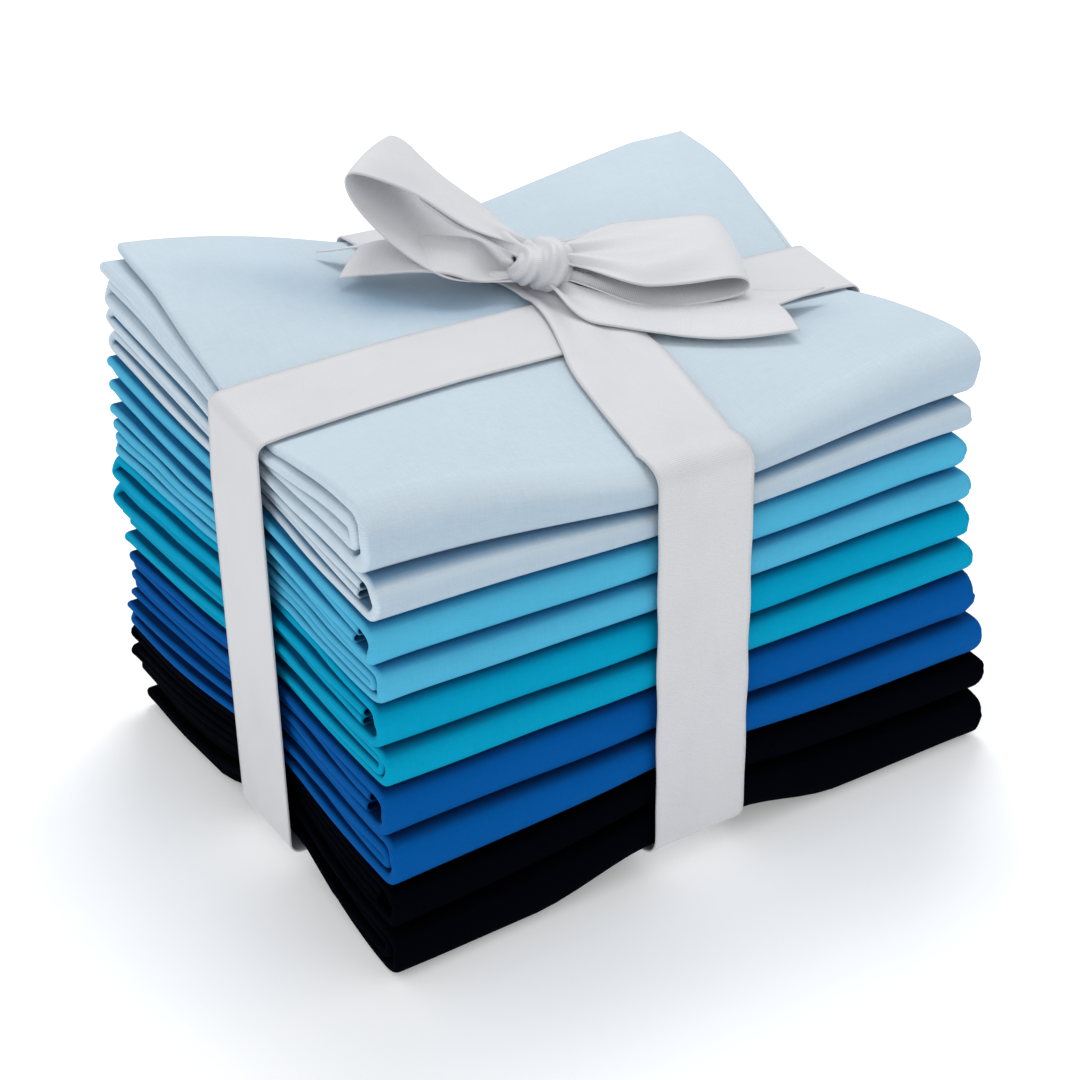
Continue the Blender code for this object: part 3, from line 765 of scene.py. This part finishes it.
def addRibbonPiece(name, node, middle, flatLength, ring=False):
    # middle is a grid: rows along the ribbon, columns across its width; a ring starts at
    # its lowest row, out of sight
    if ring:
        middle = np.roll(middle, -int(middle[..., 2].mean(1).argmin()), axis=0)
    rows, columns = middle.shape[:2]
    steps = np.linalg.norm(np.diff(middle[:, columns // 2], axis=0), axis=-1)
    along = np.concatenate([[0.0], np.cumsum(steps)])
    across = np.linspace(-ribbon["width"] / 2, ribbon["width"] / 2, columns)
    flat = np.zeros(middle.shape)
    flat[..., 0] = across[None, :]
    flat[..., 1] = along[:, None]
    flat[..., 2] = 60.0 * len(name)
    paintedShade = np.zeros(middle.shape[:2])
    place = middle + (stack["middleX"], 0.0, 0.0)
    piece = addSheet(name, place, flat, paintedShade, ribbon["thickness"], satin, ring)
    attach(piece, "root")
    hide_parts(node)
    flatLength * mm
    return piece


def pathLength(middle, ring=False):
    # mean length of the columns
    length = np.linalg.norm(np.diff(middle, axis=0), axis=-1).sum(0).mean()
    return length + (np.linalg.norm(middle[0] - middle[-1], axis=-1).mean() if ring else 0.0)


def angles(start, end, steps):
    return np.linspace(start, end, steps + 1)[:, None]


bands = {
    "columns": 17,
    "off": 0.75,                # from the cloth's seam height to the ribbon's middle
    "crossing": 0.55,           # how much further off the outer band goes where they cross
    "crossingFade": 4.0,
    "bendDrop": 2.0,
    "bendReach": 1.1,
    "endReach": 1.5,            # the same at the two ends, where the cloth yields a little
    "bendSteps": 6,
    "foldSteps": 9,
    "foldSquare": 0.84,         # below 1 the band is a little square round the front folds
    "faceSink": 0.25,           # how far the band sinks towards the seams of the front
    "frontTop": (-58.0, 60.0, 96),      # Y where the flat stretch starts and ends, and its rows
    "frontLow": (60.0, -56.0, 40),
    "backRows": 24,
    "faceRows": 40,
    "endRows": 30,
    "shoulderRows": 8,
    "endTop": (4.0, 70),        # how far inside the bends the flat stretch starts, and its rows
    "endLow": (6.0, 40),
    "neckWidth": 14.0,          # the front band's width under the knot
    "neckHalf": 4.0,
    "neckLength": 40.0,
    "pleats": 2.6,
    "pleatDepth": 0.75,
    "edgeCurl": 0.12,
}


def frontMiddle(y):
    half, knotX, knotY = stack["width"] / 2, *ribbon["knot"]
    share = np.where(y < knotY, (y + half) / (knotY + half), (half - y) / (half - knotY))
    return blend(ribbon["frontX"], knotX, smooth(share))


def neckShare(y):
    return 1.0 - smooth((abs(y - ribbon["knot"][1]) - bands["neckHalf"]) / bands["neckLength"])


def crossingShare(y):
    # 1 where the front band goes over the band round the ends, 0 away from it
    past = abs(y - ribbon["endY"]) - ribbon["width"] / 2
    return 1.0 - smooth((past + 0.5) / bands["crossingFade"])


def pointGrid(x, y, z):
    return np.stack(np.broadcast_arrays(x, y, z), axis=-1)


def frontBandRows():
    across = np.linspace(-0.5, 0.5, bands["columns"])[None, :]
    curl = bands["edgeCurl"] * (2 * across) ** 6
    off, bend = bands["off"], bands["bendDrop"] + bands["off"]
    halfWidth = stack["width"] / 2
    last = len(quarters)
    grids = []

    # over the top, from front to back
    y = np.linspace(*bands["frontTop"])[:, None]
    neck = neckShare(y)
    x = frontMiddle(y) + across * blend(ribbon["width"], bands["neckWidth"], neck)
    z = topHeight(x, y) + off + bands["crossing"] * crossingShare(y) + curl
    z = z + neck * bands["pleatDepth"] * (1 + np.cos(2 * pi * bands["pleats"] * across + 0.6)) / 2
    grids.append(pointGrid(x, y, z))

    # down the back, along the underside and up the front
    x = ribbon["frontX"] + across * ribbon["width"]
    backY = halfWidth - bands["bendReach"]
    for seam, drop, start, end in ((last, -1, pi / 2, 0.0), (0, 1, 0.0, -pi / 2)):
        a = angles(start, end, bands["bendSteps"])
        z = seamHeight(seam, x, backY) + drop * bands["bendDrop"] + bend * np.sin(a)
        grids.append(pointGrid(x, backY + bend * np.cos(a), z))
        if seam:
            bottom = seamHeight(0, x, backY) + bands["bendDrop"]
            foot = pointGrid(x[0], backY + bend, bottom[0])
            grids.append(straightRows(grids[-1][-1], foot, bands["backRows"]))
    y = np.linspace(*bands["frontLow"])[:, None]
    grids.append(pointGrid(x, y, seamHeight(0, x, y) - off - bands["crossing"] * crossingShare(y)))
    for number, start, end in ((0, -pi / 2, 0.0), (last - 1, 0.0, pi / 2)):
        pitch = (corners[number].mean() - stack["seamGap"] - stack["cloth"]) / (layerCount - 1)
        reachY = pitch * (layerCount - 1) / 2 + stack["cloth"] / 2
        centreY = -halfWidth + quarters[number][11] + reachY
        lower, upper = seamHeight(number, x, centreY), seamHeight(number + 1, x, centreY)
        a = angles(start, end, bands["foldSteps"])
        c = np.cos(a) ** bands["foldSquare"]
        s = np.sign(np.sin(a)) * abs(np.sin(a)) ** bands["foldSquare"]
        y = centreY - (reachY + off) * c
        rows = pointGrid(x, y, (lower + upper) / 2 + ((upper - lower) / 2 + off) * s)
        if number:
            grids.append(straightRows(grids[-1][-1], rows[0], bands["faceRows"], bands["faceSink"]))
        grids.append(rows)
    return np.concatenate(grids)


def straightRows(first, last, count, sink=0.0):
    # rows between two others, without those two, sinking a little towards the seams
    share = np.linspace(0.0, 1.0, count + 2)[1:-1, None, None]
    rows = first + (last - first) * share
    if sink:
        rows[..., 1] += sink * np.sin(share[..., 0] * 9 * pi) * np.sin(share[..., 0] * pi)
    return rows


frontBand = frontBandRows()
addRibbonPiece(
    "ribbonFrontBand", "ribbon_over_front", frontBand, pathLength(frontBand, True),
    ring=True,
)


def endOfStack(row, side, y):
    # the outermost X of a cloth's end where the band over the ends draws it in
    t = y / stack["width"] + 0.5
    if side < 0:
        return blend(row[7], row[8], t) - stack["endStagger"] + stack["endSqueeze"]
    return blend(row[9], row[10], t) - stack["endSqueeze"]


def endBandRows():
    y = ribbon["endY"] + np.linspace(-0.5, 0.5, bands["columns"])[None, :] * ribbon["width"]
    curl = bands["edgeCurl"] * np.linspace(-1, 1, bands["columns"])[None, :] ** 6
    off, drop, reach = bands["off"], bands["bendDrop"], bands["endReach"]
    bend = drop + off
    last = len(quarters)
    rightTop = endOfStack(quarters[-1], 1, y) - reach
    rightLow = np.max([endOfStack(row, 1, y) for row in quarters], axis=0) - reach
    leftTop = endOfStack(quarters[-1], -1, y) + reach
    leftLow = np.min([endOfStack(row, -1, y) for row in quarters], axis=0) + reach

    def bendGrid(x0, out, seam, start, end):
        a = angles(start, end, bands["bendSteps"])
        z = seamHeight(seam, x0, y) + (-drop if seam else drop) + bend * np.sin(a)
        return pointGrid(x0 + out * bend * np.cos(a), y, z)

    def flatGrid(x0, x1, seam, up, count):
        x = blend(x0, x1, np.linspace(0.0, 1.0, count)[:, None])
        return pointGrid(x, y, seamHeight(seam, x, y) + up * (off + curl))

    rightUpper = bendGrid(rightTop, 1, last, pi / 2, 0.0)
    rightLower = bendGrid(rightLow, 1, 0, 0.0, -pi / 2)
    leftLower = bendGrid(leftLow, -1, 0, -pi / 2, 0.0)
    shoulder = leftLower[-1:].copy()
    shoulder[..., 2] = seamHeight(last - 2, leftLow, y)
    leftUpper = bendGrid(leftTop, -1, last, 0.0, pi / 2)
    topInside, topRows = bands["endTop"]
    lowInside, lowRows = bands["endLow"]
    return np.concatenate([
        rightUpper,
        straightRows(rightUpper[-1], rightLower[0], bands["endRows"]),
        rightLower,
        flatGrid(rightLow - lowInside, leftLow + lowInside, 0, -1, lowRows),
        leftLower,
        straightRows(leftLower[-1], shoulder[0], bands["endRows"]),
        shoulder,
        straightRows(shoulder[0], leftUpper[0], bands["shoulderRows"]),
        leftUpper,
        flatGrid(leftTop + topInside, rightTop - topInside, last, 1, topRows),
    ])


endBand = endBandRows()
addRibbonPiece(
    "ribbonEndBand", "ribbon_over_ends", endBand, pathLength(endBand, True),
    ring=True,
)
print("bands laid")


bow = {
    "axis": (0.79, -0.61, 0.0),
    "knotHalfLength": 7.0,
    "knotHalfWidth": 7.0,
    "knotHalfHeight": 5.6,
    "rootWidth": 9.0,
    "columns": 33,
    "pleats": 2.5,
    "pleatDepth": 0.9,
    "crown": 0.9,               # how far a loop bulges across its width
    "crease": 0.35,             # soft creases running out from the knot
    "knotRows": 96,
    "knotColumns": 65,
    "loopRows": 121,
    "tailRows": 97,
    "knotClearance": 1.8,
    "rootHalf": 2.5,            # along the bow, from the knot's middle to a loop's root
    "tailRoot": 3.0,
    "tailClearance": 2.0,
    "foldBack": 1.95,           # how a loop's folded edge lies under the rest: across and down
    "foldDown": 0.16,
}
bowAxis = np.array(bow["axis"]) / np.linalg.norm(bow["axis"])
knotX, knotY = ribbon["knot"]
knotRise = bow["knotClearance"] + bow["knotHalfHeight"]
knotCentre = np.array([knotX, knotY, float(topHeight(knotX, knotY)) + knotRise])
upward = np.array([0.0, 0.0, 1.0])


def placeAll(start, way, amounts):
    # points moved from start along one direction, or one direction a row
    return start + way * amounts[..., None]


def addKnot():
    side = np.cross(upward, bowAxis)
    a = np.linspace(0.0, 2 * pi, bow["knotRows"], endpoint=False)[:, None]
    w = np.linspace(-1.0, 1.0, bow["knotColumns"])[None, :]
    drawnIn = (1.0 - (0.97 * abs(w)) ** 3.4) ** 0.5
    # one wide fold runs aslant over the knot, with slimmer ones beside it
    slant = w + 0.42 * np.cos(a + 0.5)
    wide = 0.16 * np.exp(-((slant - 0.12) / 0.30) ** 2) - 0.10 * np.exp(-((slant + 0.42) / 0.12) ** 2)
    slim = 0.085 * np.cos(14.0 * slant + 1.6 * np.sin(2 * a) + 0.8) * (0.35 + 0.65 * abs(w))
    lump = 1.0 + 0.07 * np.sin(2 * a + 1.1) + 0.05 * np.sin(3 * a + 2.5 * w)
    radius = drawnIn * lump * (0.93 + wide + slim)
    width = bow["knotHalfWidth"] * radius * np.cos(a)
    height = bow["knotHalfHeight"] * radius * np.sin(a)
    reach = bow["knotHalfLength"] * w * (1.0 + 0.10 * np.sin(a * 2 + 0.4)) + 0.5 * np.sin(a)
    middle = placeAll(placeAll(placeAll(knotCentre, bowAxis, reach), side, width), upward, height)
    addRibbonPiece("bowKnot", "bow_knot", middle, pathLength(middle, True),
                   ring=True)


addKnot()

# Loops: direction in plan, direction of the width, which way the loop opens, rise of the
# tip and how late it comes, length, opening, roundness of the tip, sag towards the near
# side, height and half gap at the knot, and how far the upper layer is folded under
# itself between the knot and the tip
loops = (
    ("bowLoopLeft", "bow_loop_left", (-0.625, 0.78, 0.0), (0.80, 0.60, 0.08), (0.25, 0.25, 0.93),
     20.5, 1.8, 43.5, 9.0, 1.1, -1.6, 1.0, 3.0, 1.0),
    ("bowLoopRight", "bow_loop_right", (0.88, -0.475, 0.0), (0.30, 0.91, 0.29), (0.0, 0.30, 0.95),
     -0.6, 1.0, 45.5, 3.6, 0.9, 3.0, 1.2, 1.6, 0.0),
)


def addLoop(name, node, out, side, lean, rise, late, length, opening, roundness, sag, rootHeight,
            rootGap, foldedUnder):
    out, side, lean = (np.array(way) / np.linalg.norm(way) for way in (out, side, lean))
    root = bow["rootHalf"] / abs(out @ bowAxis)
    start = knotCentre + upward * rootHeight
    u = np.linspace(-1.0, 1.0, bow["loopRows"])[:, None]
    far = 1.0 - u * u
    reach = blend(root, length, far)
    tip = 2.0 * roundness * np.sin(pi * u) * far ** 6
    opened = opening / 2 * np.sin(pi * u) * (1.0 - 0.5 * far ** 3) + rootGap * u + tip
    centre = placeAll(placeAll(start, out, reach), upward, rise * far ** late)
    centre = placeAll(placeAll(centre, lean, opened), side, -sag * np.sin(pi * far))
    w = np.linspace(0.0, 1.0, bow["columns"])[None, :]
    spread = smooth(far * 2.2)
    full = blend(bow["rootWidth"], ribbon["width"], spread)
    seen = ribbon["width"] * (0.12 + 0.38 * smooth(far / 0.4) + 0.5 * smooth((far - 0.6) / 0.4))
    folded = foldedUnder * smooth(u / 0.2)
    seen = blend(full, np.minimum(seen, full), folded)
    past = w * full - seen
    past = (past + np.sqrt(past * past + 1.0)) / 2 * folded
    place = w * full - bow["foldBack"] * past - seen / 2
    tangent = unit(np.gradient(centre[:, 0], axis=0))
    normal = np.cross(tangent, side)
    normal = unit(normal * np.sign(normal[len(u) // 2] @ out))[:, None, :]
    pleat = np.cos(2 * pi * bow["pleats"] * w + 1.2 * u) * (1.0 - spread) ** 0.8 * bow["pleatDepth"]
    crown = bow["crown"] * (1.0 - (2 * w - 1.0) ** 2) * spread
    crease = bow["crease"] * np.sin(11.0 * w + 7.0 * u) * np.sin(pi * far) * spread
    middle = placeAll(placeAll(centre, side, place), normal, pleat + crown + crease)
    middle = placeAll(middle, lean, -bow["foldDown"] * past)
    addRibbonPiece(name, node, middle, pathLength(middle))


for loop in loops:
    addLoop(*loop)

# Tails: a place on the way and the middle of the end in plan, notch, slant, ridge along
# the middle, how far it leaves the knot under the loops, how high it arches, and how far
# its back edge is lifted
tails = (
    ("ribbonTailLeft", "ribbon_tail_left", (-4.0, 33.0), (-30.2, 42.2), 8.0, -1.0, 5.5, 3.2, 5.0, 0.0),
    ("ribbonTailRight", "ribbon_tail_right", (20.0, -14.0), (56.0, -34.5), 8.0, -5.0, 1.0, 3.2, 0.0, 2.0),
)


def addTail(name, node, by, end, notch, slant, ridge, rootDrop, arch, tilt):
    share = np.linspace(0.0, 1.0, bow["tailRows"])[:, None]
    knot, by, end = np.array(ribbon["knot"]), np.array(by), np.array(end)
    first = knot + unit(by - knot) * bow["tailRoot"]
    line = first * (1 - share) ** 2 + 2 * by * share * (1 - share) + end * share ** 2
    along = unit((by - first) * (1 - share) + (end - by) * share)
    side = np.stack([-along[:, 1], along[:, 0]], axis=-1)
    side = (side * np.sign(side[-1].sum()))[:, None, :]
    w = np.linspace(-1.0, 1.0, bow["columns"])[None, :]
    flatHalf = (ribbon["width"] ** 2 / 4 - ridge ** 2) ** 0.5
    spread = smooth(share * 3.2)
    half = blend(bow["rootWidth"] / 2, flatHalf, spread)
    cut = (notch * (1 - abs(w)) + slant * w) * share ** 3
    flatPlaces = line[:, None, :] + side * (w * half)[..., None] - along[:, None, :] * cut[..., None]
    lie = topHeight(flatPlaces[..., 0], flatPlaces[..., 1]) + bow["tailClearance"]
    lie = lie + spread * (ridge * (1.0 - np.sqrt(w * w + 0.02)) + tilt * (w + 1.0) / 2)
    lie = lie + arch * np.sin(pi * share) + 0.35 * np.sin(9.0 * share + 2.0 * w) * spread
    pleat = np.cos(pi * bow["pleats"] * w + 0.8) * (1.0 - spread)
    height = blend(knotCentre[2] - rootDrop, lie, smooth(share * 3.0)) + pleat
    middle = np.concatenate([flatPlaces, height[..., None]], axis=-1)
    addRibbonPiece(name, node, middle, pathLength(middle) + notch / 2)


for tail in tails:
    addTail(*tail)
print("bow tied")


studio = {
    "floor": (0.93, 0.93, 0.935),
    "floorGlow": 0.22,
    "floorReach": 8.0,          # metres
    "floorDrop": 0.0002,
    "world": (0.98, 0.99, 1.0),
    "worldStrength": 0.76,
    "key": ((350.0, 480.0, 1150.0), 500.0, 5.4),        # place, size, watts
    "fill": ((-900.0, -300.0, 500.0), 700.0, 0.9),
    "back": ((500.0, -900.0, 500.0), 700.0, 0.6),
}


def addStudio():
    bpy.context.scene.view_settings.view_transform = "Standard"
    world = bpy.data.worlds.new("studio")
    world.use_nodes = True
    background = world.node_tree.nodes["Background"]
    background.inputs["Color"].default_value = (*studio["world"], 1.0)
    background.inputs["Strength"].default_value = studio["worldStrength"]
    bpy.context.scene.world = world
    for name in ("key", "fill", "back"):
        place, size, watts = studio[name]
        data = bpy.data.lights.new(name, "AREA")
        data.size = size * mm
        data.energy = watts
        lamp = bpy.data.objects.new(name, data)
        lamp.location = Vector(place) * mm
        aim = Vector((0.0, 0.0, 60.0)) * mm - lamp.location
        lamp.rotation_euler = aim.to_track_quat("-Z", "Y").to_euler()
        bpy.context.scene.collection.objects.link(lamp)
    material, tree, shader = newMaterial("studioFloor")
    place = Wire.add(tree, "ShaderNodeTexCoord", None, None, 3)
    grain = noiseAt(place, 40.0, detail=3.0)
    tone = grain.tint((*(c * 0.985 for c in studio["floor"]), 1.0), (*studio["floor"], 1.0))
    tree.links.new(tone.socket, shader.inputs["Base Color"])
    shader.inputs["Roughness"].default_value = 0.8
    shader.inputs["Emission Color"].default_value = (1.0, 1.0, 1.0, 1.0)
    shader.inputs["Emission Strength"].default_value = studio["floorGlow"]
    mesh = bpy.data.meshes.new("floor")
    reach = studio["floorReach"]
    plane = [(-reach, -reach, 0), (reach, -reach, 0), (reach, reach, 0), (-reach, reach, 0)]
    mesh.from_pydata(plane, [], [(0, 1, 2, 3)])
    mesh.materials.append(material)
    floor = bpy.data.objects.new("floor", mesh)
    floor.location.z = -studio["floorDrop"]
    bpy.context.scene.collection.objects.link(floor)


addStudio()
print("studio lit")
